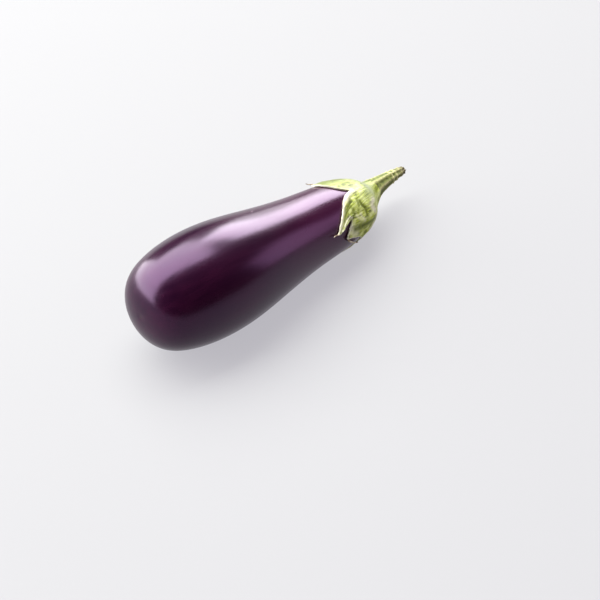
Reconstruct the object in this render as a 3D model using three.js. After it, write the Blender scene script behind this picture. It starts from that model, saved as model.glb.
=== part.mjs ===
// An eggplant lying on its side: the fruit, its five-lobed calyx and its cut stem.
// Millimetres, +Z up, +X from the blossom end to the stem. The origin is the middle of the
// flat spot that the belly rests on.

import * as THREE from 'three';
import { NURBSCurve } from 'three/addons/curves/NURBSCurve.js';

// Fruit: half its outline, as points that pull a smooth curve, each at a distance from the
// axis and from the blossom end
const FRUIT_LENGTH = 215;
const SEAT_RADIUS = 5.5; // flat end of the shoulder, under the stem
const NECK_RADIUS = 26;
const OUTLINE = [
  [0, 0],
  [24, 0],
  [37, 22],
  [40.4, 68],
  [32.5, 112],
  [27.3, 152],
  [25.2, 192],
  [16, FRUIT_LENGTH],
  [SEAT_RADIUS, FRUIT_LENGTH],
];

// Lying pose: the stem end dips until a lobe of the calyx touches the surface
const DIP = THREE.MathUtils.degToRad(5.8);
const REST_DEPTH = 1; // how much of the belly the flat spot takes off

// Calyx: distances down the skin from the stem end, angles round the axis in degrees,
// 0 on the far side, 90 on top and 180 in front. Each lobe lies between its own notch and the
// next lobe's, and its two edges bow out, or in where the number is below zero.
const SKIN_GAP = 0.3;
const CROWN_THICKNESS = 1.9;
const EDGE_THICKNESS = 0.9;
const THINNING = 0.7; // below 1 the lobes thin out sooner
const RIB_HEIGHT = 0.7;
const RIB_WIDTH = 0.07; // as a share of the lobe's width
const NOTCH_WIDTH = 2.4;
const CROWN_SPREAD = 13; // where the crown meets the lobes
const CROWN_TURN = 0.5; // where the crown turns up to the stem, as a share of its spread
const LOBES = [
  { notch: { down: 35, around: 10 }, tip: { down: 52, around: 46 }, bow: [5, 11], lift: 1 },
  { notch: { down: 35, around: 107 }, tip: { down: 67, around: 162 }, bow: [6, 4], lift: 0.6 },
  { notch: { down: 49, around: 150 }, tip: { down: 57, around: 178 }, bow: [-1, -6], lift: 0.6 },
  { notch: { down: 32, around: 224 }, tip: { down: 60, around: 264 }, bow: [2, 5], lift: 0 },
  { notch: { down: 36, around: 296 }, tip: { down: 64, around: 338 }, bow: [5, 5], lift: 0.6 },
];

// Stem: a bent, tapered stalk that rises from the crown
const STEM_LENGTH = 36;
const STEM_BASE_RADIUS = 7.4;
const STEM_TIP_RADIUS = 2.8;
const STEM_FLARE = 1;
const STEM_FLARE_LENGTH = 0.1; // as a share of the stem's length
const STEM_GAP = 0.3;
const STEM_RISE = 4.4; // of the base off the fruit's axis
const STEM_BEND = 7; // of the tip off the fruit's axis
const STEM_BEND_ANGLE = THREE.MathUtils.degToRad(60);
const STEM_TURN = 0.45; // where the bend is, as a share of the stem's length
const CROWN_HEIGHT = 11; // of the stem's base above the shoulder
const RIDGE_COUNT = 7;
const RIDGE_HEIGHT = 0.35;
const RIDGE_FADE = 0.4; // how much of a ridge is gone at the tip
const RINGS = [0.58, 0.71, 0.88]; // places along the stem
const RING_HEIGHT = 0.5;
const RING_WIDTH = 0.022;

// Fineness of the surfaces
const SKIN_STEPS = 44;
const SKIN_SIDES = 60;
const LOBE_COLUMNS = 14;
const LOBE_ROWS = 12;
const CROWN_ROWS = 5;
const STEM_ROWS = 36;
const STEM_SIDES = 28;

const { lerp, degToRad } = THREE.MathUtils;

const DEGREE = 3;
const spans = OUTLINE.length - DEGREE;
const knots = [
  ...Array(DEGREE).fill(0),
  ...Array.from({ length: spans + 1 }, (_, index) => index),
  ...Array(DEGREE).fill(spans),
];
const pulls = OUTLINE.map(([fromAxis, along]) => new THREE.Vector4(fromAxis, along, 0, 1));
const skin = new NURBSCurve(DEGREE, knots, pulls);
const skinLength = skin.getLength();

const bump = (distance, width) => Math.exp(-((distance / width) ** 2));

// A place on the skin, so far down from the stem end, raised off the skin by a height.
function onSkin(down, aroundDegrees, height) {
  const share = 1 - down / skinLength;
  const place = skin.getPointAt(share);
  const along = skin.getTangentAt(share);
  const around = degToRad(aroundDegrees);
  const radius = place.x + along.y * height;
  return new THREE.Vector3(
    place.y - along.x * height,
    radius * Math.cos(around),
    radius * Math.sin(around),
  );
}

// A closed surface through rings of points, with one point at each end.
function closedSurface(start, rings, end) {
  const sides = rings[0].length;
  const points = [start, ...rings.flat(), end];
  const last = points.length - 1;
  const at = (ring, side) => 1 + ring * sides + (side % sides);
  const faces = [];
  for (let side = 0; side < sides; side += 1) {
    faces.push(0, at(0, side), at(0, side + 1));
    faces.push(last, at(rings.length - 1, side + 1), at(rings.length - 1, side));
  }
  for (let ring = 0; ring < rings.length - 1; ring += 1) {
    for (let side = 0; side < sides; side += 1) {
      const [a, b] = [at(ring, side), at(ring, side + 1)];
      const [d, c] = [at(ring + 1, side), at(ring + 1, side + 1)];
      const shortWay = points[a].distanceTo(points[c]) < points[b].distanceTo(points[d]);
      faces.push(...(shortWay ? [a, d, c, a, c, b] : [a, d, b, d, c, b]));
    }
  }
  const geometry = new THREE.BufferGeometry().setFromPoints(points);
  geometry.setIndex(faces);
  geometry.computeVertexNormals();
  return geometry;
}

// The lying pose puts the middle of the flat spot at the origin.
const lying = new THREE.Group();
lying.rotation.y = DIP;
const underside = skin
  .getPoints(100)
  .map((place) => new THREE.Vector3(place.y, 0, -place.x).applyEuler(lying.rotation));
const floor = Math.min(...underside.map((place) => place.z)) + REST_DEPTH;
const spot = underside.filter((place) => place.z < floor);
lying.position.set(-(spot[0].x + spot.at(-1).x) / 2, 0, -floor);
lying.updateMatrix();

// Presses what would sink into the surface flat against it.
function pressFlat(geometry) {
  geometry.applyMatrix4(lying.matrix);
  const positions = geometry.getAttribute('position');
  for (let i = 0; i < positions.count; i += 1) {
    positions.setZ(i, Math.max(positions.getZ(i), 0));
  }
  geometry.applyMatrix4(lying.matrix.clone().invert());
  geometry.computeVertexNormals();
  return geometry;
}

function fruitGeometry() {
  const profile = [...skin.getPoints(SKIN_STEPS), new THREE.Vector2(0, FRUIT_LENGTH)];
  const geometry = new THREE.LatheGeometry(profile, SKIN_SIDES);
  geometry.rotateZ(-Math.PI / 2);
  return pressFlat(geometry);
}

// The stem's middle line leaves the fruit's axis towards one side.
const stemSide = new THREE.Vector3(0, Math.cos(STEM_BEND_ANGLE), Math.sin(STEM_BEND_ANGLE));
const stemPlace = (along, offset) =>
  new THREE.Vector3(FRUIT_LENGTH + along, 0, 0).addScaledVector(stemSide, offset);
const stemLine = new THREE.QuadraticBezierCurve3(
  stemPlace(CROWN_HEIGHT, STEM_RISE),
  stemPlace(CROWN_HEIGHT + STEM_LENGTH * STEM_TURN, STEM_BEND),
  stemPlace(CROWN_HEIGHT + STEM_LENGTH, STEM_BEND),
);

// A ring of places round the stem's middle line.
function stemRing(share, setBack, radiusAt, anglesDegrees) {
  const along = stemLine.getTangent(share);
  const centre = stemLine.getPoint(share).addScaledVector(along, -setBack);
  const across = new THREE.Vector3(0, 1, 0).addScaledVector(along, -along.y).normalize();
  const upward = new THREE.Vector3().crossVectors(along, across);
  return anglesDegrees.map((degrees) => {
    const angle = degToRad(degrees);
    const radius = radiusAt(angle);
    return centre
      .clone()
      .addScaledVector(across, radius * Math.cos(angle))
      .addScaledVector(upward, radius * Math.sin(angle));
  });
}

// A place on the calyx laid out flat: down the skin, and round it at the neck's radius.
const roundDegree = degToRad(1) * NECK_RADIUS;
const unrolled = (down, aroundDegrees, aside) =>
  new THREE.Vector2(down, aroundDegrees * roundDegree + aside);

// An edge of a lobe on the flat calyx, bowed to the side that is outside the lobe.
function bowedEdge(start, end, bow) {
  const run = end.clone().sub(start).normalize();
  const middle = start.clone().add(end).multiplyScalar(0.5);
  const pulled = middle.add(new THREE.Vector2(run.y, -run.x).multiplyScalar(bow));
  return new THREE.QuadraticBezierCurve(start, pulled, end);
}

// One column of the calyx for each place along the lobes' edge: where it starts at the crown,
// where it ends on the edge and how far it is from the lobe's middle.
function calyxColumns() {
  const columns = [];
  LOBES.forEach((lobe, index) => {
    const next = LOBES[(index + 1) % LOBES.length];
    const turn = index === LOBES.length - 1 ? 360 : 0;
    const from = unrolled(lobe.notch.down, lobe.notch.around, NOTCH_WIDTH / 2);
    const tip = unrolled(lobe.tip.down, lobe.tip.around, 0);
    const to = unrolled(next.notch.down, next.notch.around + turn, -NOTCH_WIDTH / 2);
    const before = bowedEdge(from, tip, lobe.bow[0]);
    const after = bowedEdge(tip, to, lobe.bow[1]);
    for (let column = 0; column <= LOBE_COLUMNS; column += 1) {
      const across = (2 * column) / LOBE_COLUMNS;
      const edge = across <= 1 ? before.getPoint(across) : after.getPoint(across - 1);
      const start = lerp(from.y, to.y, column / LOBE_COLUMNS);
      columns.push({ start, edge, fromRib: across - 1, lift: lobe.lift });
    }
  });
  return columns;
}

// A place on a column, a share of the way from the crown to the lobe's edge.
function calyxPlace(column, share, thickness) {
  const down = lerp(CROWN_SPREAD, column.edge.x, share);
  const around = lerp(column.start, column.edge.y, share ** 2);
  const tipShare = share ** 3 * (1 - Math.abs(column.fromRib)) ** 2;
  return onSkin(down, around / roundDegree, SKIN_GAP + column.lift * tipShare + thickness);
}

function calyxThickness(column, share) {
  const rib = RIB_HEIGHT * bump(column.fromRib, 2 * RIB_WIDTH) * (1 - share);
  return lerp(CROWN_THICKNESS, EDGE_THICKNESS, share ** THINNING) + rib;
}

function calyxGeometry() {
  const columns = calyxColumns();
  const angles = columns.map((column) => column.start / roundDegree);
  const shares = Array.from({ length: LOBE_ROWS }, (_, row) => row / (LOBE_ROWS - 1));
  const collar = stemRing(0, STEM_GAP, () => STEM_BASE_RADIUS + STEM_FLARE, angles);
  const outside = shares.map((share) =>
    columns.map((column) => calyxPlace(column, share, calyxThickness(column, share))),
  );
  const inside = shares.map((share) => columns.map((column) => calyxPlace(column, share, 0)));
  const crownCurves = columns.map(
    (column, index) =>
      new THREE.QuadraticBezierCurve3(
        collar[index],
        onSkin(CROWN_SPREAD * CROWN_TURN, angles[index], CROWN_THICKNESS),
        outside[0][index],
      ),
  );
  const crown = Array.from({ length: CROWN_ROWS }, (_, row) =>
    crownCurves.map((curve) => curve.getPoint(row / CROWN_ROWS)),
  );
  const seat = Array.from({ length: CROWN_ROWS }, (_, row) =>
    angles.map((angle) => onSkin(CROWN_SPREAD * (1 - (row + 1) / CROWN_ROWS), angle, SKIN_GAP)),
  );
  const top = stemLine.getPoint(0).addScaledVector(stemLine.getTangent(0), -STEM_GAP);
  const bottom = new THREE.Vector3(FRUIT_LENGTH + SKIN_GAP, 0, 0);
  const rings = [...crown, ...outside, ...inside.reverse(), ...seat];
  return pressFlat(closedSurface(top, rings, bottom));
}

function stemGeometry() {
  const angles = Array.from({ length: STEM_SIDES }, (_, side) => (360 * side) / STEM_SIDES);
  const rings = Array.from({ length: STEM_ROWS }, (_, row) => {
    const share = row / (STEM_ROWS - 1);
    const flare = STEM_FLARE * Math.exp(-share / STEM_FLARE_LENGTH);
    const swell = RINGS.reduce((sum, place) => sum + RING_HEIGHT * bump(share - place, RING_WIDTH), 0);
    const radius = lerp(STEM_BASE_RADIUS, STEM_TIP_RADIUS, share) + flare + swell;
    const ridge = RIDGE_HEIGHT * (1 - RIDGE_FADE * share);
    return stemRing(share, 0, (angle) => radius + ridge * Math.cos(RIDGE_COUNT * angle), angles);
  });
  return closedSurface(stemLine.getPoint(1), rings.reverse(), stemLine.getPoint(0));
}

function piece(name, geometry, colour, roughness) {
  const material = new THREE.MeshStandardMaterial({ color: colour, roughness, metalness: 0 });
  const mesh = new THREE.Mesh(geometry, material);
  mesh.name = name;
  return mesh;
}

lying.add(
  piece('fruit', fruitGeometry(), 0x35102f, 0.25),
  piece('calyx', calyxGeometry(), 0xaeb860, 0.65),
  piece('stem', stemGeometry(), 0x8f9448, 0.75),
);

const eggplant = new THREE.Group();
eggplant.add(lying);

export default eggplant;
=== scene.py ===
"""A whole eggplant lying on its side: glossy fruit, lobed calyx and cut stem on a plain pale floor."""

import logging
import math
from collections import Counter
from dataclasses import dataclass, field
from enum import Enum
from typing import Callable

import bpy
import numpy as np
from mathutils import Euler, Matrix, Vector, noise


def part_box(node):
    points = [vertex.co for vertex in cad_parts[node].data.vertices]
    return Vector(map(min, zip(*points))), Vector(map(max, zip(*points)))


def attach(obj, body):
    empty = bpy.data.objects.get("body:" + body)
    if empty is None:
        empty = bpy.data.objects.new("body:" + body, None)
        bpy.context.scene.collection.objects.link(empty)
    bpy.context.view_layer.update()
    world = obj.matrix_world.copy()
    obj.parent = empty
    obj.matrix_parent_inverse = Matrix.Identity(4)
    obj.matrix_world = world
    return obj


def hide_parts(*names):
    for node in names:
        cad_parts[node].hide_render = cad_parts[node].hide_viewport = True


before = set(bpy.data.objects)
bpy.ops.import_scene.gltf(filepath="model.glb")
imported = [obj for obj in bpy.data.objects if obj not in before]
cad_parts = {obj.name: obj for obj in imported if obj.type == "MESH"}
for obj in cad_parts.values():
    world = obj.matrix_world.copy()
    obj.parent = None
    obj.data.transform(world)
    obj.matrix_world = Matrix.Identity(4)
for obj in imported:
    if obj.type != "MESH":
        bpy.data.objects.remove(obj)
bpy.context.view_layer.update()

LOG = logging.getLogger("eggplant")
MM = 0.001
SEAM_REACH = 0.001 * MM
STRETCH_STEPS = 24
BODY = "root"

Colour = tuple[float, float, float]
Stretch = tuple[float, float, float]
Place = tuple[float, float]


class Slot(Enum):
    """The record's material slots."""

    SKIN = "skin"
    SEPALS = "sepals"
    STALK = "stalk"


class Node(Enum):
    """The construction's nodes that the pieces stand for."""

    FRUIT = "fruit"
    CALYX = "calyx"
    STEM = "stem"


# Modelling helpers


def deselect_all() -> None:
    """Leaves object mode with nothing selected."""
    if bpy.context.object and bpy.context.object.mode != "OBJECT":
        bpy.ops.object.mode_set(mode="OBJECT")
    bpy.ops.object.select_all(action="DESELECT")


def make_active(piece: bpy.types.Object) -> None:
    """Selects one object alone and makes it the active one.

    Args:
        piece: The object.
    """
    deselect_all()
    piece.select_set(True)
    bpy.context.view_layer.objects.active = piece


def select_vertices(piece: bpy.types.Object, test: Callable[[bpy.types.MeshVertex], bool]) -> None:
    """Enters edit mode with the vertices selected that pass a test.

    Args:
        piece: The mesh object to edit.
        test: Tells whether a vertex is selected.
    """
    make_active(piece)
    bpy.ops.object.mode_set(mode="EDIT")
    bpy.ops.mesh.select_mode(type="VERT")
    bpy.ops.mesh.select_all(action="DESELECT")
    bpy.ops.object.mode_set(mode="OBJECT")
    for vertex in piece.data.vertices:
        vertex.select = test(vertex)
    bpy.ops.object.mode_set(mode="EDIT")


def open_vertices(piece: bpy.types.Object) -> set[int]:
    """The indices of the vertices on a mesh's open edges."""
    uses = Counter(key for face in piece.data.polygons for key in face.edge_keys)
    return {index for key, count in uses.items() if count == 1 for index in key}


def apply_modifier(piece: bpy.types.Object, kind: str, **settings: object) -> None:
    """Adds a modifier to a piece and applies it.

    Args:
        piece: The mesh object to change.
        kind: The modifier's type.
        settings: The modifier's own values.
    """
    make_active(piece)
    modifier = piece.modifiers.new(kind.title(), kind)
    for name, value in settings.items():
        setattr(modifier, name, value)
    bpy.ops.object.modifier_apply(modifier=modifier.name)


def close_mesh(piece: bpy.types.Object, reach: float) -> None:
    """Merges vertices that lie together and turns all faces outwards.

    Args:
        piece: The mesh object to clean.
        reach: How close two vertices are merged.
    """
    make_active(piece)
    bpy.ops.object.mode_set(mode="EDIT")
    bpy.ops.mesh.select_all(action="SELECT")
    bpy.ops.mesh.remove_doubles(threshold=reach)
    bpy.ops.mesh.normals_make_consistent(inside=False)
    bpy.ops.object.mode_set(mode="OBJECT")


def shade_smooth(piece: bpy.types.Object) -> None:
    """Shades a piece smooth all over."""
    make_active(piece)
    bpy.ops.object.shade_smooth()


def rolled_grid(name: str, places: np.ndarray, values: dict[str, np.ndarray]) -> bpy.types.Object:
    """Rolls a flat grid into a tube, with the seam closed and the grid's own UV map kept.

    Args:
        name: The new object's name.
        places: A place for each row and column, as an array of rows by columns by 3.
        values: Numbers for each row and column, stored by name as attributes that a finish reads.

    Returns:
        The mesh object.
    """
    rows, columns = places.shape[0] - 1, places.shape[1]
    deselect_all()
    bpy.ops.mesh.primitive_grid_add(x_subdivisions=columns, y_subdivisions=rows, size=1)
    piece = bpy.context.object
    piece.name = name
    spread = np.array([vertex.co for vertex in piece.data.vertices])
    column = np.rint((spread[:, 0] + 0.5) * columns).astype(int) % columns
    row = np.rint((spread[:, 1] + 0.5) * rows).astype(int)
    piece.data.vertices.foreach_set("co", places[row, column].ravel())
    for value, numbers in values.items():
        attribute = piece.data.attributes.new(value, "FLOAT", "POINT")
        attribute.data.foreach_set("value", numbers[row, column].astype(np.float32))
    close_mesh(piece, SEAM_REACH)
    return piece


def smooth_line(points: list[Place], count: int) -> np.ndarray:
    """A smooth line through points, with its ends held.

    Args:
        points: The places that the line passes through.
        count: How many steps the line gets.

    Returns:
        An array of count + 1 places, evenly spaced along the line.
    """
    through = np.array(points, float)
    held = np.vstack([2 * through[0] - through[1], through, 2 * through[-1] - through[-2]])
    share = np.linspace(0, 1, STRETCH_STEPS, endpoint=False)[:, None]
    stretches = []
    for a, b, c, d in zip(held, held[1:], held[2:], held[3:]):
        pull = 2 * b + (c - a) * share + (2 * a - 5 * b + 4 * c - d) * share**2
        stretches.append(0.5 * (pull + (3 * b - a - 3 * c + d) * share**3))
    line = np.vstack([*stretches, through[-1:]])
    reach = np.concatenate([[0], np.cumsum(np.linalg.norm(np.diff(line, axis=0), axis=1))])
    even = np.linspace(0, reach[-1], count + 1)
    return np.stack([np.interp(even, reach, line[:, axis]) for axis in range(line.shape[1])], axis=1)


def distance_to(places: np.ndarray, line: np.ndarray) -> np.ndarray:
    """How far each place is from the nearest point of a line of points."""
    return np.linalg.norm(places[:, None, :] - line[None, :, :], axis=2).min(axis=1)


def bump(distance: np.ndarray, width: float) -> np.ndarray:
    """A soft hump that is 1 on its line and fades over a width."""
    return np.exp(-((distance / width) ** 2))


def grain(places: np.ndarray, scale: float, seed: float) -> np.ndarray:
    """Smooth noise from -1 to 1 at each place.

    Args:
        places: An array of places, with two or three numbers each.
        scale: How many waves the noise has over a unit of length.
        seed: Shifts the noise, so that two calls differ.

    Returns:
        One number for each place.
    """
    shift = Vector((seed, 0.37 * seed, 0.71 * seed))
    return np.array([noise.noise(Vector((*place, 0.0)[:3]) * scale + shift) for place in places])


# Finishes


class NodeBoard:
    """A material's nodes, with short ways to add and join them."""

    def __init__(self, name: str) -> None:
        """Starts a material with a shader and its output.

        Args:
            name: The material's name.
        """
        self.material = bpy.data.materials.new(name)
        self.material.use_nodes = True
        self.tree = self.material.node_tree
        self.shader = self.tree.nodes["Principled BSDF"]

    def set(self, values: dict[str, object]) -> None:
        """Sets the shader's own sockets, by their names."""
        for name, value in values.items():
            self.shader.inputs[name].default_value = value

    def add(self, kind: str, inputs: dict[str, object] | None = None, **settings: object) -> bpy.types.Node:
        """Adds a node.

        Args:
            kind: The node's type, without its prefix.
            inputs: Values or sockets for the node's inputs, by name.
            settings: The node's own values.

        Returns:
            The new node.
        """
        node = self.tree.nodes.new("ShaderNode" + kind)
        for name, value in settings.items():
            setattr(node, name, value)
        for name, value in (inputs or {}).items():
            self.join(value, node.inputs[name])
        return node

    def join(self, value: object, socket: bpy.types.NodeSocket) -> None:
        """Links a socket to an input, or sets the input's value.

        Args:
            value: The socket or the value.
            socket: The input.
        """
        if isinstance(value, bpy.types.NodeSocket):
            self.tree.links.new(value, socket)
        else:
            socket.default_value = value

    def place(self, stretch: Stretch = (1, 1, 1)) -> bpy.types.NodeSocket:
        """The place on the piece, stretched along each axis."""
        where = self.add("TexCoord").outputs["Object"]
        return self.add("Mapping", {"Vector": where, "Scale": stretch}).outputs["Vector"]

    def flat(self, stretch: Stretch = (1, 1, 1)) -> bpy.types.NodeSocket:
        """The place on the piece's own UV map, stretched along each axis."""
        where = self.add("UVMap").outputs["UV"]
        return self.add("Mapping", {"Vector": where, "Scale": stretch}).outputs["Vector"]

    def value(self, name: str) -> bpy.types.NodeSocket:
        """A number that is stored on the mesh."""
        return self.add("Attribute", attribute_name=name).outputs["Fac"]

    def noise(self, where: bpy.types.NodeSocket, scale: float, detail: float = 3) -> bpy.types.NodeSocket:
        """Cloudy noise from 0 to 1."""
        return self.add("TexNoise", {"Vector": where, "Scale": scale, "Detail": detail}).outputs["Fac"]

    def ramp(self, factor: bpy.types.NodeSocket, *stops: tuple[float, Colour]) -> bpy.types.NodeSocket:
        """Turns a number into a colour.

        Args:
            factor: The number.
            stops: Places from 0 to 1 with their colours.

        Returns:
            The colour's socket.
        """
        node = self.add("ValToRGB", {"Fac": factor})
        node.color_ramp.interpolation = "EASE"
        elements = node.color_ramp.elements
        for _ in stops[2:]:
            elements.new(0.5)
        for element, (position, colour) in zip(elements, stops):
            element.position = position
            element.color = (*colour, 1)
        return node.outputs["Color"]

    def mask(self, factor: bpy.types.NodeSocket, low: float, high: float) -> bpy.types.NodeSocket:
        """Turns a number into 0 below one limit and 1 above the other.

        Args:
            factor: The number.
            low: The limit that gives 0.
            high: The limit that gives 1.

        Returns:
            The new number's socket.
        """
        inputs = {"Value": factor, "From Min": low, "From Max": high}
        node = self.add("MapRange", inputs, interpolation_type="SMOOTHSTEP")
        return node.outputs["Result"]

    def mix(self, factor: bpy.types.NodeSocket, low: object, high: object) -> bpy.types.NodeSocket:
        """Mixes two colours, given as sockets or as values.

        Args:
            factor: How much of the second colour shows, from 0 to 1.
            low: The first colour.
            high: The second colour.

        Returns:
            The mixed colour's socket.
        """
        node = self.add("Mix", data_type="RGBA")
        colours = [socket for socket in node.inputs if socket.type == "RGBA"]
        self.join(factor, node.inputs["Factor"])
        for value, socket in zip((low, high), colours):
            self.join((*value, 1) if isinstance(value, tuple) else value, socket)
        return next(socket for socket in node.outputs if socket.type == "RGBA")

    def math(self, operation: str, first: object, second: object) -> bpy.types.NodeSocket:
        """Works out one number from two.

        Args:
            operation: What is done with them.
            first: The first number, as a socket or a value.
            second: The second number, as a socket or a value.

        Returns:
            The new number's socket.
        """
        node = self.add("Math", operation=operation)
        self.join(first, node.inputs[0])
        self.join(second, node.inputs[1])
        return node.outputs[0]

    def blend(self, *parts: tuple[bpy.types.NodeSocket, float]) -> bpy.types.NodeSocket:
        """Adds up numbers, each with its weight.

        Args:
            parts: The numbers' sockets and their weights.

        Returns:
            The sum's socket.
        """
        weighted = [self.math("MULTIPLY", number, weight) for number, weight in parts]
        total = weighted[0]
        for number in weighted[1:]:
            total = self.math("ADD", total, number)
        return total

    def relief(self, height: bpy.types.NodeSocket, depth: float, strength: float = 1) -> None:
        """Raises the surface by a height map, on top of any relief it has already.

        Args:
            height: The height map, from 0 to 1.
            depth: How far the map reaches, in metres.
            strength: How strongly it shows.
        """
        node = self.add("Bump", {"Height": height, "Distance": depth, "Strength": strength})
        normal = self.shader.inputs["Normal"]
        if normal.is_linked:
            self.join(normal.links[0].from_socket, node.inputs["Normal"])
        self.join(node.outputs["Normal"], normal)

    def colour(self, socket: bpy.types.NodeSocket) -> None:
        """Gives the shader its colour."""
        self.join(socket, self.shader.inputs["Base Color"])

    def roughness(self, factor: bpy.types.NodeSocket, low: float, high: float) -> None:
        """Gives the shader a roughness between two limits."""
        node = self.add("MapRange", {"Value": factor, "To Min": low, "To Max": high})
        self.join(node.outputs["Result"], self.shader.inputs["Roughness"])


@dataclass(frozen=True)
class SkinFinish:
    """Waxy dark purple skin: glossy, faintly streaked along the fruit, with fine pores."""

    deep: Colour = (0.0085, 0.0011, 0.0072)
    ruddy: Colour = (0.0185, 0.0018, 0.0110)
    neck: Colour = (0.0240, 0.0024, 0.0145)
    scar: Colour = (0.018, 0.008, 0.010)
    gloss_tint: Colour = (0.90, 0.57, 1.0)
    gloss: tuple[float, float] = (0.18, 0.3)
    neck_reach: tuple[float, float] = (90 * MM, 150 * MM)
    scar_reach: tuple[float, float] = (0.6 * MM, 1.6 * MM)
    streak_stretch: Stretch = (7, 90, 90)
    streak_depth: float = 0.07 * MM
    pore_depth: float = 0.02 * MM
    grain_depth: float = 0.012 * MM

    def material(self, lying: "Lying") -> bpy.types.Material:
        """Makes the material.

        Args:
            lying: How the fruit lies, so that the streaks follow its axis.

        Returns:
            The finished material.
        """
        board = NodeBoard("eggplant_skin")
        board.set({"IOR": 1.42, "Specular Tint": (*self.gloss_tint, 1)})
        place = board.add("TexCoord").outputs["Object"]
        turned = {"Vector": place, "Location": lying.offset, "Rotation": (0, lying.dip, 0)}
        along = board.add("Mapping", turned, vector_type="TEXTURE").outputs["Vector"]
        streaks = board.add("Mapping", {"Vector": along, "Scale": self.streak_stretch}).outputs["Vector"]
        clouds = board.noise(along, 22)
        lines = board.noise(streaks, 2.2, 5)
        tone = board.blend((clouds, 0.5), (lines, 0.5))
        skin = board.ramp(tone, (0.3, self.deep), (0.75, self.ruddy))
        reach = board.add("SeparateXYZ", {"Vector": along}).outputs["X"]
        skin = board.mix(board.mask(reach, *self.neck_reach), skin, self.neck)
        pole = board.add("VectorMath", {0: along}, operation="LENGTH").outputs["Value"]
        scarred = board.mix(board.mask(pole, *self.scar_reach), self.scar, skin)
        board.colour(scarred)
        pores = board.add("TexVoronoi", {"Vector": along, "Scale": 420}).outputs["Distance"]
        board.roughness(lines, *self.gloss)
        board.relief(lines, self.streak_depth, 1.0)
        board.relief(board.mask(pores, 0.04, 0.14), self.pore_depth, 0.5)
        board.relief(board.noise(along, 900, 2), self.grain_depth, 0.6)
        return board.material


@dataclass(frozen=True)
class SepalFinish:
    """Leathery yellow-green calyx with pale veins, cream edges and real dark and pale streaks; olive
    painted as shade in its hollows, grooves and under its folds, cream painted as light on its lit flank,
    and a painted highlight and painted shade on its top.
    """

    green: Colour = (0.345, 0.400, 0.042)
    olive: Colour = (0.070, 0.092, 0.003)
    pale: Colour = (0.470, 0.515, 0.200)
    cream: Colour = (0.600, 0.565, 0.460)
    # Painted highlight: a pale, washed-out tint for the crown and the top of the lobes, where the light
    # falls strongest.
    glare_mint: Colour = (0.280, 0.320, 0.215)
    # Painted shade: a duller, darker tone that tones down the strongly lit far top side.
    glare_dimmed_tone: Colour = (0.135, 0.143, 0.098)
    gloss: tuple[float, float] = (0.42, 0.62)
    fibre_stretch: Stretch = (150, 7, 1)
    fibre_depth: float = 0.14 * MM
    grain_depth: float = 0.05 * MM

    def material(self) -> bpy.types.Material:
        """Makes the material.

        Returns:
            The finished material.
        """
        board = NodeBoard("calyx_sepals")
        board.set({"IOR": 1.45, "Specular IOR Level": 0.14})
        fibres = board.noise(board.flat(self.fibre_stretch), 1.0, 5)
        patches = board.noise(board.place(), 150, 4)
        tone = board.blend((fibres, 0.55), (patches, 0.45))
        leaf = board.ramp(tone, (0.41, self.olive), (0.49, self.green), (0.58, self.pale))
        leaf = board.mix(board.value("vein"), leaf, self.pale)
        # Painted highlight: the pale tint over the crown, strongest on top where the light falls.
        leaf = board.mix(board.value("crown"), leaf, self.glare_mint)
        # Painted shade: dulls the strongly lit far top side, crown and lobes alike.
        leaf = board.mix(board.value("glare_dimming"), leaf, self.glare_dimmed_tone)
        # Cream along the pale strokes: real pale streaks, partly painted light on the flank.
        leaf = board.mix(board.value("pale_and_painted_light"), leaf, self.cream)
        ragged = board.mask(board.blend((fibres, 0.9), (patches, 0.6)), 0.42, 0.85)
        # Olive: painted shade along the dark strokes on the lobes, and the stem's real dark flecks over the
        # crown.
        leaf = board.mix(board.math("MULTIPLY", board.value("fleck_and_shade"), ragged), leaf, self.olive)
        board.colour(board.mix(board.value("rim"), leaf, self.cream))
        board.roughness(patches, *self.gloss)
        board.relief(fibres, self.fibre_depth, 0.9)
        board.relief(board.noise(board.place(), 1300, 2), self.grain_depth, 0.6)
        return board.material


@dataclass(frozen=True)
class StalkFinish:
    """Fibrous olive stalk with cream ridges, dark flecks between them, and a browned cut tip."""

    olive: Colour = (0.070, 0.085, 0.013)
    moss: Colour = (0.135, 0.155, 0.030)
    dark: Colour = (0.045, 0.062, 0.006)
    cream: Colour = (0.400, 0.380, 0.180)
    brown: Colour = (0.110, 0.090, 0.042)
    gloss: tuple[float, float] = (0.5, 0.72)
    fibre_stretch: Stretch = (34, 9, 1)
    fibre_depth: float = 0.14 * MM
    patch_depth: float = 0.12 * MM

    def material(self) -> bpy.types.Material:
        """Makes the material.

        Returns:
            The finished material.
        """
        board = NodeBoard("stem_stalk")
        board.set({"IOR": 1.45, "Specular IOR Level": 0.22})
        fibres = board.noise(board.flat(self.fibre_stretch), 1.0, 4)
        patches = board.noise(board.place(), 420, 3)
        tone = board.blend((fibres, 0.5), (patches, 0.5))
        bark = board.ramp(tone, (0.40, self.olive), (0.6, self.moss))
        bark = board.mix(board.value("ridge"), bark, self.cream)
        bark = board.mix(board.value("fleck"), bark, self.dark)
        rough = board.mask(board.blend((patches, 1.0), (board.value("tip"), 0.5)), 0.55, 0.95)
        board.colour(board.mix(board.math("MULTIPLY", board.value("tip"), rough), bark, self.brown))
        board.roughness(patches, *self.gloss)
        board.relief(fibres, self.fibre_depth, 0.9)
        board.relief(patches, self.patch_depth, 0.8)
        return board.material


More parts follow.
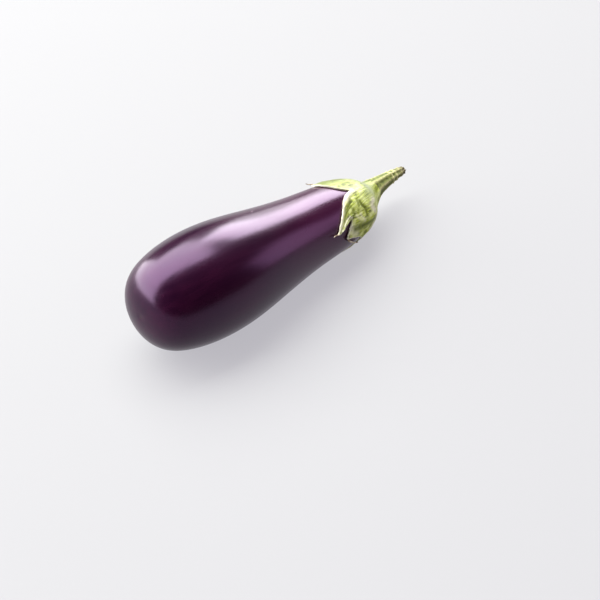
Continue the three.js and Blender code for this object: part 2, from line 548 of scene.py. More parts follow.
@dataclass(frozen=True)
class DryTipFinish:
    """Dry, curled ends of the lobes: pale straw, browned in places."""

    straw: Colour = (0.42, 0.37, 0.28)
    brown: Colour = (0.16, 0.10, 0.055)
    gloss: tuple[float, float] = (0.55, 0.75)
    patch_depth: float = 0.08 * MM

    def material(self) -> bpy.types.Material:
        """Makes the material.

        Returns:
            The finished material.
        """
        board = NodeBoard("calyx_dry_tips")
        board.set({"IOR": 1.45, "Specular IOR Level": 0.3})
        patches = board.noise(board.place(), 380, 3)
        board.colour(board.ramp(patches, (0.42, self.brown), (0.56, self.straw)))
        board.roughness(patches, *self.gloss)
        board.relief(patches, self.patch_depth, 0.7)
        return board.material


@dataclass(frozen=True)
class FloorFinish:
    """Plain pale matt floor, lit a little from below so that its shadows stay pale."""

    pale: Colour = (0.108, 0.110, 0.104)
    glow: Colour = (0.47, 0.46, 0.50)

    def material(self) -> bpy.types.Material:
        """Makes the material.

        Returns:
            The finished material.
        """
        board = NodeBoard("pale_floor")
        board.set({"Base Color": (*self.pale, 1), "Roughness": 0.9, "Specular IOR Level": 0.0})
        board.set({"Emission Color": (*self.glow, 1), "Emission Strength": 1.0})
        return board.material


# The eggplant


@dataclass
class Outline:
    """Half the fruit's outline: places (from the axis, along it) that pull a smooth curve."""

    length: float = 215 * MM
    seat_radius: float = 5.5 * MM
    resolution: int = 24
    points: np.ndarray = field(init=False)

    def pulls(self) -> list[Place]:
        """The places that pull the curve, from the blossom end to the stem end."""
        middle = ((24, 0), (37, 22), (40.4, 68), (32.5, 112), (27.3, 152), (25.2, 192))
        ends = [(16 * MM, self.length), (self.seat_radius, self.length)]
        return [(0.0, 0.0), *((across * MM, along * MM) for across, along in middle), *ends]

    def draw(self, name: str) -> bpy.types.Object:
        """Draws the outline as a chain of edges in the XZ plane.

        Args:
            name: The new object's name.

        Returns:
            The mesh object, whose places this outline then keeps.
        """
        deselect_all()
        bpy.ops.curve.primitive_nurbs_path_add()
        chain = bpy.context.object
        chain.name = name
        spline = chain.data.splines[0]
        pulls = self.pulls()
        spline.points.add(len(pulls) - len(spline.points))
        for point, (across, along) in zip(spline.points, pulls):
            point.co = (along, 0, across, 1)
        spline.order_u = 4
        spline.use_endpoint_u = True
        spline.resolution_u = self.resolution
        bpy.ops.object.convert(target="MESH")
        self.points = np.array([(vertex.co.x, vertex.co.z) for vertex in chain.data.vertices])
        return chain

    def place(self, down: np.ndarray, around: np.ndarray, height: np.ndarray) -> np.ndarray:
        """Places on the skin.

        Args:
            down: How far down the skin from the stem end.
            around: Degrees round the axis: 0 on the far side, 90 on top, 180 in front.
            height: How far off the skin.

        Returns:
            The places in the fruit's own frame, with its axis along X.
        """
        steps = np.gradient(self.points, axis=0)
        steps /= np.linalg.norm(steps, axis=1)[:, None]
        reach = np.concatenate([[0], np.cumsum(np.linalg.norm(np.diff(self.points, axis=0), axis=1))])
        at = reach[-1] - down
        along, radius = (np.interp(at, reach, self.points[:, axis]) for axis in (0, 1))
        run, lean = (np.interp(at, reach, steps[:, axis]) for axis in (0, 1))
        radius = radius + run * height
        turn = np.radians(around)
        return np.stack([along - lean * height, radius * np.cos(turn), radius * np.sin(turn)], axis=-1)


@dataclass
class Lying:
    """How the eggplant lies: the stem end dips, and the belly and a lobe touch the floor."""

    dip: float = math.radians(5.8)
    offset: Vector = field(default_factory=Vector)

    def fit(self, fruit: bpy.types.Object) -> None:
        """Finds the offset that puts a fruit, drawn along X, where the construction's fruit is.

        Args:
            fruit: The fruit's mesh object, not yet laid down.
        """
        low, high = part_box(Node.FRUIT.value)
        points = np.array([vertex.co for vertex in fruit.data.vertices])
        along = points[:, 0] * math.cos(self.dip) + points[:, 2] * math.sin(self.dip)
        upward = points[:, 2] * math.cos(self.dip) - points[:, 0] * math.sin(self.dip)
        self.offset = Vector((low.x - along.min(), 0, high.z - upward.max()))

    def lay(self, piece: bpy.types.Object) -> None:
        """Turns a piece from the fruit's own frame into the lying pose.

        Args:
            piece: The mesh object.
        """
        make_active(piece)
        piece.rotation_euler = (0, self.dip, 0)
        piece.location = self.offset
        bpy.ops.object.transform_apply(location=True, rotation=True, scale=True)

    def press_flat(self, piece: bpy.types.Object) -> None:
        """Presses what would sink into the floor flat against it.

        Args:
            piece: The mesh object, laid down.
        """
        select_vertices(piece, lambda vertex: vertex.co.z < 0)
        bpy.ops.transform.resize(value=(1, 1, 0), center_override=(0, 0, 0))
        bpy.ops.object.mode_set(mode="OBJECT")


@dataclass
class Fruit:
    """The club-shaped fruit, turned round its axis and left slightly uneven."""

    outline: Outline
    lying: Lying
    sides: int = 160
    unevenness: float = 0.7 * MM
    unevenness_size: float = 70 * MM
    scar_radius: float = 3.2 * MM
    scar_depth: float = 0.25 * MM
    pole_reach: float = 0.3 * MM
    end_reach: float = 0.01 * MM
    seam_reach: float = 0.002 * MM

    def build(self) -> bpy.types.Object:
        """Models the fruit.

        Returns:
            The mesh object, in place.
        """
        fruit = self.outline.draw("eggplant_fruit")
        end = Vector((self.outline.length, 0, self.outline.seat_radius))
        select_vertices(fruit, lambda vertex: (vertex.co - end).length < self.end_reach)
        step = {"value": (0, 0, -self.outline.seat_radius)}
        bpy.ops.mesh.extrude_vertices_move(TRANSFORM_OT_translate=step)
        bpy.ops.mesh.select_all(action="SELECT")
        bpy.ops.mesh.spin(steps=self.sides, angle=math.tau, center=(0, 0, 0), axis=(1, 0, 0))
        bpy.ops.object.mode_set(mode="OBJECT")
        close_mesh(fruit, self.seam_reach)
        self.lying.fit(fruit)
        self.dent(fruit)
        clouds = bpy.data.textures.new("fruit_unevenness", "CLOUDS")
        clouds.noise_scale = self.unevenness_size
        clouds.noise_depth = 0
        pattern = {"texture": clouds, "texture_coords": "LOCAL"}
        apply_modifier(fruit, "DISPLACE", strength=self.unevenness, mid_level=0.5, **pattern)
        self.lying.lay(fruit)
        self.lying.press_flat(fruit)
        shade_smooth(fruit)
        return fruit

    def dent(self, fruit: bpy.types.Object) -> None:
        """Sinks the small scar at the blossom end.

        Args:
            fruit: The fruit's mesh object, not yet laid down.
        """
        select_vertices(fruit, lambda vertex: vertex.co.length < self.pole_reach)
        bpy.ops.transform.translate(
            value=(self.scar_depth, 0, 0),
            use_proportional_edit=True,
            proportional_edit_falloff="SMOOTH",
            proportional_size=self.scar_radius,
        )
        bpy.ops.object.mode_set(mode="OBJECT")

    def dress(self, fruit: bpy.types.Object) -> None:
        """Gives the fruit its skin."""
        fruit.data.materials.append(SkinFinish().material(self.lying))


@dataclass
class Stem:
    """The bent, tapered stalk: ridged lengthwise, ringed near its tip and cut off rough."""

    fruit_length: float
    lying: Lying
    length: float = 36 * MM
    base_radius: float = 7.4 * MM
    tip_radius: float = 2.8 * MM
    flare: float = 1 * MM
    flare_length: float = 0.1
    rise: float = 4.4 * MM
    bend: float = 7 * MM
    bend_angle: float = math.radians(60)
    turn: float = 0.45
    crown_height: float = 11 * MM
    root: float = -0.08
    ridges: int = 7
    ridge_height: float = 0.38 * MM
    ridge_fade: float = 0.4
    rings: tuple[float, ...] = (0.58, 0.71, 0.88)
    ring_height: float = 0.5 * MM
    ring_width: float = 0.022
    roughness: float = 0.16 * MM
    tip_roughness: float = 0.45 * MM
    tip_start: float = 0.7
    browning_start: float = 0.66
    browning_end: float = 0.96
    flecks: float = 18
    flecks_round: float = 4
    ragged: float = 0.7 * MM
    fraying: float = 2.6
    pith_depth: float = 0.8 * MM
    sides: int = 84
    rows: int = 96

    def middle(self, share: np.ndarray) -> np.ndarray:
        """The stem's middle line, in the fruit's own frame.

        Args:
            share: Shares of the stem's length.

        Returns:
            One place for each share.
        """
        side = np.array([0, math.cos(self.bend_angle), math.sin(self.bend_angle)])
        start, bend, end = (
            np.array([self.fruit_length + self.crown_height + self.length * along, 0, 0]) + offset * side
            for along, offset in ((0, self.rise), (self.turn, self.bend), (1, self.bend))
        )
        share = np.asarray(share)[:, None]
        return start * (1 - share) ** 2 + bend * 2 * share * (1 - share) + end * share**2

    def radius(self, share: np.ndarray, angle: np.ndarray) -> np.ndarray:
        """The stem's radius, with its flare, rings and ridges.

        Args:
            share: Shares of the stem's length.
            angle: Angles round the stem, in radians.

        Returns:
            One radius for each share and angle.
        """
        body = self.base_radius + (self.tip_radius - self.base_radius) * share
        body = body + self.flare * np.exp(-np.maximum(share, 0) / self.flare_length)
        body = body + sum(self.ring_height * bump(share - ring, self.ring_width) for ring in self.rings)
        return body + self.ridge_height * (1 - self.ridge_fade * share) * np.cos(self.ridges * angle)

    def ring(self, share: float, degrees: np.ndarray, radius: np.ndarray) -> np.ndarray:
        """A ring of places round the middle line.

        Args:
            share: Where the ring is along the stem.
            degrees: Angles round the stem.
            radius: The radius at each angle.

        Returns:
            One place for each angle.
        """
        nearby = self.middle(np.array([share - 0.01, share, share + 0.01]))
        along = nearby[2] - nearby[0]
        along /= np.linalg.norm(along)
        across = np.array([0, 1, 0]) - along[1] * along
        across /= np.linalg.norm(across)
        upward = np.cross(along, across)
        angle = np.radians(degrees)[:, None]
        return nearby[1] + radius[:, None] * (across * np.cos(angle) + upward * np.sin(angle))

    def build(self) -> bpy.types.Object:
        """Models the stem.

        Returns:
            The mesh object, in place.
        """
        degrees = np.arange(self.sides) * 360 / self.sides
        angle = np.radians(degrees)
        shares = np.linspace(self.root, 1, self.rows + 1)
        places = np.array([self.ring(share, degrees, self.radius(share, angle)) for share in shares])
        rough = grain(places.reshape(-1, 3) / MM, 0.9, 3.0).reshape(places.shape[:2])
        near_tip = np.clip((shares[:, None] - self.tip_start) / (1 - self.tip_start), 0, 1)
        rough *= self.roughness + self.tip_roughness * near_tip
        outward = places - self.middle(shares)[:, None, :]
        places += outward / np.linalg.norm(outward, axis=2, keepdims=True) * rough[..., None]
        frayed = grain(np.stack([np.cos(angle), np.sin(angle)], axis=1) * self.fraying, 1.0, 9.0)
        places[-1, :, 0] += frayed * self.ragged
        stem = rolled_grid("eggplant_stem", places, self.marks(shares[:, None], angle))
        self.close_ends(stem)
        self.lying.lay(stem)
        shade_smooth(stem)
        return stem

    def close_ends(self, stem: bpy.types.Object) -> None:
        """Closes the cut tip with a sunken pith, and the hidden root with a plain face.

        Args:
            stem: The stem's mesh object, open at both ends.
        """
        middle = self.fruit_length + self.crown_height + self.length / 2
        rims = open_vertices(stem)
        select_vertices(stem, lambda vertex: vertex.index in rims and vertex.co.x < middle)
        bpy.ops.mesh.edge_face_add()
        select_vertices(stem, lambda vertex: vertex.index in rims and vertex.co.x > middle)
        centre = self.middle(np.array([1.0]))[0]
        for scale, step in ((0.8, 0.0), (0.9, -self.pith_depth), (0.5, 0.15 * MM)):
            bpy.ops.mesh.extrude_edges_move(TRANSFORM_OT_translate={"value": (step, 0, 0)})
            bpy.ops.transform.resize(value=(scale, scale, scale), center_override=centre)
        bpy.ops.mesh.edge_face_add()
        bpy.ops.mesh.select_all(action="SELECT")
        bpy.ops.mesh.normals_make_consistent(inside=False)
        bpy.ops.object.mode_set(mode="OBJECT")

    def marks(self, share: np.ndarray, angle: np.ndarray) -> dict[str, np.ndarray]:
        """Where the ridges, the dark flecks and the browned tip are.

        Args:
            share: Shares of the stem's length, one row each.
            angle: Angles round the stem, one column each.

        Returns:
            Numbers from 0 to 1 for each row and column, by name.
        """
        ridge = 0.5 + 0.5 * np.cos(self.ridges * angle)
        rings = sum(bump(share - ring, self.ring_width) for ring in self.rings)
        every = np.ones_like(share * angle)
        sides = [np.sin(angle) * every * self.flecks_round, np.cos(angle) * every * self.flecks_round]
        spots = np.stack([share * every * self.flecks, *sides], axis=-1)
        broken = grain(spots.reshape(-1, 3), 1.0, 4.0).reshape(every.shape)
        fleck = (1 - ridge) * np.clip(0.2 + 2.2 * broken, 0, 1)
        browned = (share - self.browning_start) / (self.browning_end - self.browning_start)
        return {
            "ridge": np.clip(0.8 * ridge**2 * (0.75 + 0.8 * broken) + 0.8 * rings, 0, 0.95),
            "fleck": np.clip(fleck - rings, 0, 0.9),
            "tip": 0.95 * np.clip(browned, 0, 1) * every,
        }

    def dress(self, stem: bpy.types.Object) -> None:
        """Gives the stem its fibrous finish."""
        stem.data.materials.append(StalkFinish().material())


@dataclass(frozen=True)
class Lobe:
    """A pointed lobe of the calyx, as places (mm down the skin, degrees round it).

    Its edge runs from its root, where it parts from the lobe before it, to its tip and on to the
    root of the next lobe.
    """

    root: Place
    before: tuple[Place, ...]
    tip: Place
    after: tuple[Place, ...]
    lift: float = 0.5


@dataclass(frozen=True)
class Crease:
    """A rib, groove or fold of the calyx along a line of places (mm down the skin, degrees round it).

    A fold falls off over another width on the side that lies further round.
    """

    line: tuple[Place, ...]
    height: float
    width: float
    far_width: float | None = None


@dataclass(frozen=True)
class Stroke:
    """A streak of colour on the calyx along a line of places (mm down the skin, degrees round it)."""

    line: tuple[Place, ...]
    width: float
    strength: float


@dataclass
class Calyx:
    """The leathery cup over the shoulder: a crown that rises to the stem and five pointed lobes."""

    outline: Outline
    stem: Stem
    lying: Lying
    lobes: tuple[Lobe, ...] = (
        Lobe(
            (35, 10),
            ((33, 25), (36, 42), (43, 48)),
            (49.3, 50),
            ((49.8, 61), (48.3, 76), (42, 96)),
            0.5,
        ),
        Lobe(
            (35, 107),
            ((43, 112), (49, 121), (58, 142)),
            (66, 161.5),
            ((63.4, 162.5), (60.6, 158.5), (56.8, 151), (51.8, 146.2)),
            0.5,
        ),
        Lobe(
            (48.8, 148.8),
            ((49.6, 155), (53, 164)),
            (57, 176),
            ((48.5, 182.5), (40, 192), (34, 205)),
            0.7,
        ),
        Lobe((32, 222), ((42, 231), (53, 245)), (60, 264), ((54, 279), (44, 290)), 0.0),
        Lobe((36, 296), ((46, 303), (57, 318)), (64, 338), ((58, 352), (46, 363)), 0.7),
    )
    creases: tuple[Crease, ...] = (
        Crease(((14, 173), (29, 171.7), (36.5, 166), (42, 156)), 1.0, 4.0, 1.0),
        Crease(((38, 118), (42, 126), (47.5, 137), (52, 145)), -0.5, 1.2),
        Crease(((24, 120), (38, 112), (50, 128), (60, 149)), 0.35, 1.6),
        Crease(((34, 131), (33.5, 138.5), (31, 147), (31.5, 158)), -0.45, 1.3),
        Crease(((43, 146.5), (49, 149), (55, 152.5)), -0.5, 2.4),
        Crease(((20, 205), (35, 190), (48, 180)), 0.3, 1.5),
        Crease(((20, 262), (40, 263), (56, 264)), 0.5, 1.6),
        Crease(((20, 330), (40, 335), (60, 338)), 0.5, 1.6),
        Crease(((20, 55), (36, 52), (46, 47)), 0.5, 1.6),
    )
    # Painted shade in olive along grooves, under folds, at a slot's root and over the strongly lit top
    # lobe, with some real dark streaks.
    dark_streak_and_shade_strokes: tuple[Stroke, ...] = (
        Stroke(((34, 131), (33.5, 138.5), (31.2, 146), (30.8, 152), (31.5, 158.5)), 1.5, 1.0),
        Stroke(((45, 133), (44.2, 140)), 1.5, 0.8),
        Stroke(((45.5, 145), (48.5, 148), (52, 146)), 2.0, 1.0),
        Stroke(((35.8, 126), (37.2, 137)), 1.2, 0.8),
        Stroke(((47, 168), (38, 171.5), (31.5, 173.5), (20, 178)), 2.8, 1.0),
        Stroke(((42, 122), (48, 131.5), (53, 139.5), (57.5, 148)), 1.0, 0.8),
        Stroke(((26, 70), (33, 66), (38, 62)), 1.8, 1.0),
        Stroke(((24, 56), (36, 62), (46, 66)), 6.0, 0.75),
        Stroke(((24, 240), (40, 252)), 2.4, 0.9),
        Stroke(((26, 280), (44, 272)), 2.0, 0.8),
        Stroke(((26, 318), (44, 328)), 2.4, 0.9),
        Stroke(((24, 352), (42, 345)), 2.0, 0.8),
    )
    # Real pale streaks and strands, with painted light in cream on the front lobes' flank, on a fold's
    # crest and along a lobe's right edge.
    pale_streak_and_light_strokes: tuple[Stroke, ...] = (
        Stroke(((33, 108), (40, 112), (46, 119)), 2.4, 0.95),
        Stroke(((46, 119), (51, 126), (57, 140), (63, 157)), 1.5, 0.6),
        Stroke(((36, 106), (30, 108), (25, 104)), 4.0, 0.4),
        Stroke(((43, 150), (40, 158)), 1.3, 0.4),
        Stroke(((38.5, 150), (37.5, 157), (35, 164.5)), 1.0, 0.5),
        Stroke(((52, 158), (50, 168), (46, 177)), 3.4, 0.5),
        Stroke(((17, 141), (22, 149), (19, 161)), 2.8, 0.7),
        Stroke(((15, 176), (21, 186), (27, 197), (33, 208)), 1.5, 0.8),
        Stroke(((24, 30), (34, 42)), 2.0, 0.5),
        Stroke(((24, 300), (34, 299)), 2.2, 0.6),
        Stroke(((22, 222), (30, 222)), 2.2, 0.6),
    )
    neck_radius: float = 26
    crown_spread: float = 13
    crown_turn: float = 0.5
    crown_thickness: float = 1.9
    edge_thickness: float = 1.0
    thinning: float = 0.7
    vein_height: float = 0.24
    vein_strength: float = 0.55
    veins: float = 11
    unevenness: float = 0.32
    curl_height: float = 0.18
    curl_width: float = 2.6
    rim_width: float = 0.6
    rim_strength: float = 0.75
    painted_glare_side: float = 104
    painted_glare_width: float = 34
    glare_dimming_side: float = 38
    glare_dimming_width: float = 60
    sheet: float = 1.1 * MM
    lip: float = 0.3 * MM
    lip_angle: float = math.radians(50)
    collar_sink: float = 0.12 * MM
    crease_steps: int = 60
    stroke_steps: int = 40
    half_columns: int = 48
    crown_rows: int = 16
    lobe_rows: int = 56

    def unrolled(self, places: list[Place]) -> list[Place]:
        """Places on the calyx laid out flat, in mm: down the skin, and round it at the neck."""
        return [(down, math.radians(around) * self.neck_radius) for down, around in places]

    def edge(self) -> tuple[np.ndarray, np.ndarray, np.ndarray, np.ndarray]:
        """The calyx's edge, column by column.

        Returns:
            The edge on the flat calyx, where each column starts round the crown, how far across its
            lobe it is from 0 to 1, and the lift of its lobe's tip.
        """
        edges, starts, across, lifts = [], [], [], []
        for index, lobe in enumerate(self.lobes):
            following = self.lobes[(index + 1) % len(self.lobes)].root
            turn = 360 if index == len(self.lobes) - 1 else 0
            following = (following[0], following[1] + turn)
            before = smooth_line(self.unrolled([lobe.root, *lobe.before, lobe.tip]), self.half_columns)
            after = smooth_line(self.unrolled([lobe.tip, *lobe.after, following]), self.half_columns)
            edges.append(np.vstack([before[:-1], after[:-1]]))
            share = np.arange(2 * self.half_columns) / (2 * self.half_columns)
            start, end = self.unrolled([lobe.root, following])
            starts.append(start[1] + (end[1] - start[1]) * share)
            across.append(share)
            lifts.append(np.full(len(share), lobe.lift))
        return np.vstack(edges), *(np.concatenate(parts) for parts in (starts, across, lifts))

    def build(self) -> bpy.types.Object:
        """Models the calyx.

        Returns:
            The mesh object, in place.
        """
        edge, start, across, lift = self.edge()
        shares = np.linspace(0, 1, self.lobe_rows + 1)[:, None]
        down = self.crown_spread + (edge[:, 0] - self.crown_spread) * shares
        around = start + (edge[:, 1] - start) * shares**2
        flat = np.stack([down, around], axis=-1).reshape(-1, 2)
        loop = 2 * math.pi * self.neck_radius
        outer = np.vstack([edge, edge - [0, loop], edge + [0, loop]])
        from_edge = distance_to(flat, outer).reshape(down.shape)
        height = self.surface(flat, shares, across, lift, from_edge)
        degrees = np.degrees(around / self.neck_radius)
        lobes = self.outline.place(down * MM, degrees, height * MM)
        places = np.concatenate([self.crown(start, lobes[0]), lobes])
        calyx = rolled_grid("eggplant_calyx", places, self.marks(flat, from_edge, across, shares))
        apply_modifier(calyx, "SOLIDIFY", thickness=self.sheet, offset=-1.0, use_even_offset=False)
        rounded = {"limit_method": "ANGLE", "angle_limit": self.lip_angle}
        apply_modifier(calyx, "BEVEL", width=self.lip, segments=2, **rounded)
        self.lying.lay(calyx)
        self.lying.press_flat(calyx)
        shade_smooth(calyx)
        return calyx

    def surface(
        self,
        flat: np.ndarray,
        shares: np.ndarray,
        across: np.ndarray,
        lift: np.ndarray,
        from_edge: np.ndarray,
    ) -> np.ndarray:
        """How high the calyx's face is above the skin, in mm.

        Args:
            flat: Places on the flat calyx, row by row.
            shares: The rows' shares of the way from the crown to the edge.
            across: How far across its lobe each column is.
            lift: The lift of each column's lobe.
            from_edge: Each place's distance from the calyx's edge.

        Returns:
            One height for each row and column.
        """
        body = self.crown_thickness + (self.edge_thickness - self.crown_thickness) * shares**self.thinning
        veins = self.vein_height * (self.vein_lines(across, shares) - 0.4)
        tip = lift * shares**3 * (1 - np.abs(2 * across - 1)) ** 2
        wave = 1 + grain(flat, 0.16, 5.0).reshape(from_edge.shape)
        curl = self.curl_height * bump(from_edge, self.curl_width) * wave * shares * self.free_edge(across)
        uneven = self.unevenness * grain(flat, 0.14, 1.0) + 0.5 * self.unevenness * grain(flat, 0.42, 2.0)
        folds = sum(self.fold(flat, crease) for crease in self.creases)
        fade = np.minimum(1, shares * 4)
        return body + tip + curl + (veins + (uneven + folds).reshape(from_edge.shape)) * fade

    def free_edge(self, across: np.ndarray) -> np.ndarray:
        """How free a lobe's edge is of its neighbour: 1 at its tip, and next to nothing at its root."""
        return 1 - 0.9 * np.abs(2 * across - 1) ** 6

    def vein_lines(self, across: np.ndarray, shares: np.ndarray) -> np.ndarray:
        """Fine irregular veins that run out along the lobes.

        Args:
            across: How far across its lobe each column is.
            shares: The rows' shares of the way from the crown to the edge.

        Returns:
            Numbers from 0 to 1 for each row and column.
        """
        column = np.arange(len(across)) / (2 * self.half_columns) * self.veins
        rows, columns = np.broadcast_arrays(2.2 * shares, column)
        lines = grain(np.stack([columns, rows], axis=-1).reshape(-1, 2), 1.0, 6.0)
        return (1 - np.abs(lines).reshape(rows.shape)) ** 4

    def fold(self, flat: np.ndarray, crease: Crease) -> np.ndarray:
        """How much a crease raises the calyx.

        Args:
            flat: Places on the flat calyx.
            crease: The crease.

        Returns:
            One height for each place, in mm.
        """
        line = smooth_line(self.unrolled(list(crease.line)), self.crease_steps)
        apart = np.linalg.norm(flat[:, None, :] - line[None, :, :], axis=2)
        nearest = apart.argmin(axis=1)
        beyond = flat[:, 1] > line[nearest, 1]
        width = np.where(beyond, crease.far_width or crease.width, crease.width)
        taper = np.sin(math.pi * nearest / (len(line) - 1)) ** 0.7
        return crease.height * taper * bump(apart.min(axis=1), width)

    def painted(self, flat: np.ndarray, strokes: tuple[Stroke, ...]) -> np.ndarray:
        """How strongly strokes colour the calyx.

        Args:
            flat: Places on the flat calyx.
            strokes: The strokes.

        Returns:
            A number from 0 to 1 for each place.
        """
        total = np.zeros(len(flat))
        for stroke in strokes:
            line = smooth_line(self.unrolled(list(stroke.line)), self.stroke_steps)
            total = np.maximum(total, stroke.strength * bump(distance_to(flat, line), stroke.width))
        return total

    def crown(self, start: np.ndarray, first_row: np.ndarray) -> np.ndarray:
        """The rows of the crown, which sweeps from the stem down to the lobes.

        Args:
            start: Where each column starts round the crown, on the flat calyx.
            first_row: The lobes' first row of places.

        Returns:
            The rows from the stem's base to just before the lobes.
        """
        degrees = np.degrees(start / self.neck_radius)
        radius = self.stem.radius(0.0, np.radians(degrees)) - self.collar_sink
        collar = self.stem.ring(0.0, degrees, radius)
        down = np.full(len(start), self.crown_spread * self.crown_turn * MM)
        turn = self.outline.place(down, degrees, np.full(len(start), self.crown_thickness * MM))
        shares = (np.arange(self.crown_rows) / self.crown_rows)[:, None, None]
        return collar * (1 - shares) ** 2 + turn * 2 * shares * (1 - shares) + first_row * shares**2

    def marks(
        self, flat: np.ndarray, from_edge: np.ndarray, across: np.ndarray, shares: np.ndarray
    ) -> dict[str, np.ndarray]:
        """Where the rims and veins are, the dark streaks with their painted shade, the pale streaks with
        their painted light, the crown's painted highlight and the painted shade that dulls the far top
        side.

        Args:
            flat: The lobes' places on the flat calyx, row by row.
            from_edge: Each lobe place's distance from the calyx's edge.
            across: How far across its lobe each column is.
            shares: The lobe rows' shares of the way to the edge.

        Returns:
            Numbers from 0 to 1 for each row and column, by name.
        """
        crown = np.zeros((self.crown_rows, len(across)))
        every = np.ones_like(from_edge)
        frayed = 1 + 0.5 * grain(flat, 0.5, 8.0).reshape(from_edge.shape)
        angle = flat[: len(across), 1] / self.neck_radius
        # Painted highlight: weights the crown's pale tint towards the top side, where the light falls
        # strongest, with a faint share all round.
        painted_glare = 0.15 + 0.75 * bump(np.degrees(angle) - self.painted_glare_side, self.painted_glare_width)
        # Painted shade: dulls the far top side, crown and lobes, where the light falls strongest.
        turned = (np.degrees(angle) - self.glare_dimming_side + 180) % 360 - 180
        glare_dimming = 0.9 * bump(turned, self.glare_dimming_width)
        rise = np.arange(self.crown_rows)[:, None] / self.crown_rows
        stripes = self.stem.marks(crown[:, :1], angle)
        striped = np.clip(1.3 - 1.6 * rise, 0, 1)
        rim = self.rim_strength * bump(from_edge, self.rim_width * frayed) * self.free_edge(across)
        veins = self.vein_strength * self.vein_lines(across, shares) ** 2
        crown_top = [crown + np.clip(2 * rise - 0.5, 0, 1), np.clip(1 - 3 * shares, 0, 1) * every]
        # Painted shade along the dark strokes, with some real dark streaks.
        dark = self.painted(flat, self.dark_streak_and_shade_strokes).reshape(every.shape)
        # Real pale streaks, partly painted light on the flank.
        pale = self.painted(flat, self.pale_streak_and_light_strokes).reshape(every.shape)
        return {
            "rim": np.vstack([crown, rim]),
            "vein": np.vstack([striped * stripes["ridge"], veins]),
            "crown": np.vstack(crown_top) * painted_glare,
            "glare_dimming": np.vstack([crown + 1, every]) * glare_dimming,
            "fleck_and_shade": np.vstack([striped * stripes["fleck"], dark]),
            "pale_and_painted_light": np.vstack([crown, pale]),
        }

    def dress(self, calyx: bpy.types.Object) -> None:
        """Gives the calyx its leathery finish."""
        calyx.data.materials.append(SepalFinish().material())


@dataclass(frozen=True)
class DryTip:
    """A dry thread at a lobe's tip: places (mm down the skin, degrees round it, mm off it)."""

    line: tuple[tuple[float, float, float], ...]
    radii: tuple[float, float]


@dataclass
class DryTips:
    """The dry, curled threads that the lobes end in."""

    outline: Outline
    lying: Lying
    threads: tuple[DryTip, ...] = (
        DryTip(((47, 49, 1.8), (49.5, 47.5, 2.4), (51, 46, 3.2), (51.8, 46, 4.2)), (0.55, 0.25)),
        DryTip(((64, 162.5, 0.8), (66.5, 161.5, 1.0), (69, 159.5, 1.3), (72, 160, 2.0)), (0.62, 0.28)),
        DryTip(
            ((54, 171, 0.9), (57.3, 176.5, 1.3), (53, 186, 1.7), (46, 195, 1.9), (40, 204, 1.6)),
            (0.85, 0.45),
        ),
    )
    sides: int = 3

    def build(self) -> bpy.types.Object:
        """Models the threads.

        Returns:
            One mesh object of all the threads, in place.
        """
        made = [self.thread(thread) for thread in self.threads]
        deselect_all()
        for piece in made:
            piece.select_set(True)
        bpy.context.view_layer.objects.active = made[0]
        bpy.ops.object.join()
        tips = bpy.context.object
        tips.name = "eggplant_calyx_tips"
        self.lying.lay(tips)
        shade_smooth(tips)
        return tips

    def thread(self, thread: DryTip) -> bpy.types.Object:
        """Draws one thread as a tapered tube.

        Args:
            thread: The thread.

        Returns:
            The mesh object, in the fruit's own frame.
        """
        deselect_all()
        bpy.ops.curve.primitive_nurbs_path_add()
        piece = bpy.context.object
        curve = piece.data
        spline = curve.splines[0]
        line = np.array(thread.line)
        places = self.outline.place(line[:, 0] * MM, line[:, 1], line[:, 2] * MM)
        if len(places) < len(spline.points):
            curve.splines.clear()
            spline = curve.splines.new("NURBS")
        spline.points.add(len(places) - len(spline.points))
        radii = np.linspace(*thread.radii, len(places))
        for point, place, radius in zip(spline.points, places, radii):
            point.co = (*place, 1)
            point.radius = radius
        spline.order_u = 4
        spline.use_endpoint_u = True
        spline.resolution_u = 12
        curve.dimensions = "3D"
        curve.bevel_depth = 1 * MM
        curve.bevel_resolution = self.sides
        curve.use_fill_caps = True
        bpy.ops.object.convert(target="MESH")
        return bpy.context.object

    def dress(self, tips: bpy.types.Object) -> None:
        """Gives the threads their dry finish."""
        tips.data.materials.append(DryTipFinish().material())


# The studio


@dataclass(frozen=True)
class Panel:
    """A soft light panel, or one that shows in the gloss alone."""

    name: str
    radiance: float
    tint: Colour
    gloss_only: bool = field(default=False, kw_only=True)

    def hang(self, place: Vector, turn: Colour, size: tuple[float, float]) -> None:
        """Hangs the panel.

        Args:
            place: Where its middle is.
            turn: How it is turned from facing straight down.
            size: Its width and height.
        """
        deselect_all()
        bpy.ops.object.light_add(type="AREA", location=place, rotation=turn)
        panel = bpy.context.object
        panel.name = self.name
        panel.data.shape = "RECTANGLE"
        panel.data.size, panel.data.size_y = size
        panel.data.color = self.tint
        panel.data.energy = self.radiance * math.pi * size[0] * size[1]
        panel.visible_camera = False
        panel.visible_diffuse = not self.gloss_only


@dataclass(frozen=True)
class OverheadPanel(Panel):
    """A level panel over the object, between two corners that are given before it is turned."""

    near_corner: Place
    far_corner: Place
    turn: float = math.radians(-13)
    rise: float = 2.0

    def build(self) -> None:
        """Hangs the panel level."""
        low, high = Vector(self.near_corner), Vector(self.far_corner)
        middle = ((low + high) / 2).to_3d()
        middle.rotate(Euler((0, 0, self.turn)))
        self.hang(middle + Vector((0, 0, self.rise)), (0, 0, self.turn), tuple(high - low))


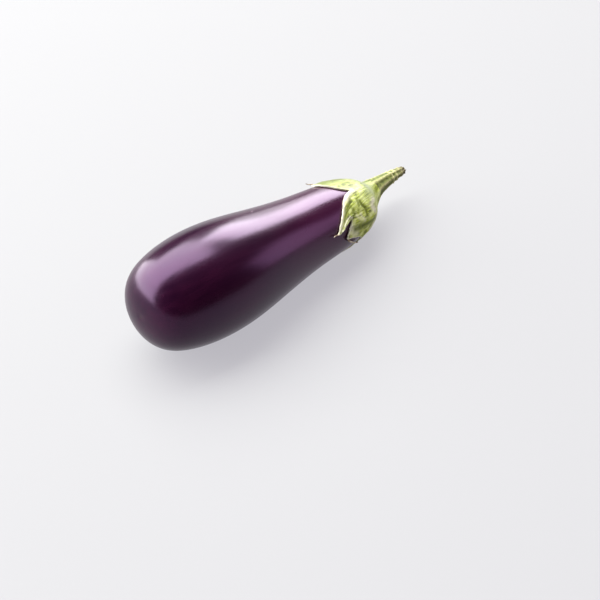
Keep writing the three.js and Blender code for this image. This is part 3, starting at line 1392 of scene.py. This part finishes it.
@dataclass(frozen=True)
class StandingPanel(Panel):
    """An upright panel that faces the object, at a bearing round from +X in degrees."""

    bearing: float
    aside: float
    width: float
    bottom: float
    top: float
    distance: float

    def build(self) -> None:
        """Stands the panel up."""
        bearing = math.radians(self.bearing)
        place = Vector((self.distance, self.aside, (self.bottom + self.top) / 2))
        place.rotate(Euler((0, 0, bearing)))
        turn = (math.pi / 2, 0, bearing + math.pi / 2)
        self.hang(place, turn, (self.width, self.top - self.bottom))


@dataclass
class Studio:
    """A plain pale floor, soft light panels and the camera."""

    camera_place: tuple[float, float, float] = (-0.4556, -0.5227, 0.6331)
    camera_elevation: float = math.radians(42)
    camera_turn: float = math.radians(-45.13)
    lens: float = 80.25
    sensor: float = 36.0
    floor_size: float = 12.0
    room_light: float = 0.4
    panels: tuple[OverheadPanel | StandingPanel, ...] = (
        OverheadPanel("overhead", 10.6, (1, 1, 1), (-2.6, 0.12), (1.24, 3.3)),
        StandingPanel("left_wall", 9.5, (1, 1, 1), 167, -1.7, 3.2, 0.02, 2.0, 2.6),
        StandingPanel("back_wall", 9.5, (1, 1, 1), 77, 1.4, 2.4, 0.02, 2.0, 3.3, gloss_only=True),
        StandingPanel("window", 16.5, (1, 1, 1), 27, 0, 1.35, 0.75, 2.1, 2.2, gloss_only=True),
        StandingPanel("window_sill", 4.0, (1, 1, 1), 27, 0, 1.35, 0.2, 0.75, 2.2),
        StandingPanel("side", 2.6, (1, 0.66, 0.97), -28, 0, 1.0, 0.1, 1.05, 2.2),
    )

    def build(self) -> None:
        """Sets up the floor, the lights and the camera."""
        self.lay_floor()
        for panel in self.panels:
            panel.build()
        self.light_room()
        self.set_camera()

    def lay_floor(self) -> None:
        """Lays the floor."""
        deselect_all()
        bpy.ops.mesh.primitive_plane_add(size=self.floor_size)
        floor = bpy.context.object
        floor.name = "floor"
        floor.data.materials.append(FloorFinish().material())

    def light_room(self) -> None:
        """Gives the room its even light, which the glossy skin doesn't mirror."""
        world = bpy.data.worlds.new("studio_room")
        bpy.context.scene.world = world
        world.use_nodes = True
        background = world.node_tree.nodes["Background"]
        background.inputs["Color"].default_value = (1, 1, 1, 1)
        background.inputs["Strength"].default_value = self.room_light
        world.cycles_visibility.glossy = False
        bpy.context.scene.view_settings.view_transform = "Standard"

    def set_camera(self) -> None:
        """Sets the camera at the photograph's viewing angle."""
        deselect_all()
        turned = (math.pi / 2 - self.camera_elevation, 0, self.camera_turn)
        bpy.ops.object.camera_add(location=self.camera_place, rotation=turned)
        camera = bpy.context.object
        camera.data.lens = self.lens
        camera.data.sensor_width = self.sensor
        bpy.context.scene.camera = camera


def install(piece: bpy.types.Object, slot: Slot, *nodes: Node) -> None:
    """Makes a finished piece ride on the part and stand for construction nodes.

    Args:
        piece: The finished piece.
        slot: The record's material slot, which is only named in the log.
        nodes: The construction's nodes that it stands for.
    """
    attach(piece, BODY)
    if nodes:
        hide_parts(*(node.value for node in nodes))
    LOG.info("%s: %d faces, finish %s", piece.name, len(piece.data.polygons), slot.value)


def main() -> None:
    """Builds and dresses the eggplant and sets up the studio."""
    logging.basicConfig(level=logging.INFO, format="%(name)s %(message)s")
    outline = Outline()
    lying = Lying()
    fruit = Fruit(outline, lying)
    fruit_piece = fruit.build()
    fruit.dress(fruit_piece)
    install(fruit_piece, Slot.SKIN, Node.FRUIT)
    stem = Stem(outline.length, lying)
    stem_piece = stem.build()
    stem.dress(stem_piece)
    install(stem_piece, Slot.STALK, Node.STEM)
    calyx = Calyx(outline, stem, lying)
    calyx_piece = calyx.build()
    calyx.dress(calyx_piece)
    install(calyx_piece, Slot.SEPALS, Node.CALYX)
    tips = DryTips(outline, lying)
    tips_piece = tips.build()
    tips.dress(tips_piece)
    install(tips_piece, Slot.SEPALS)
    Studio().build()


if __name__ == "__main__":
    main()
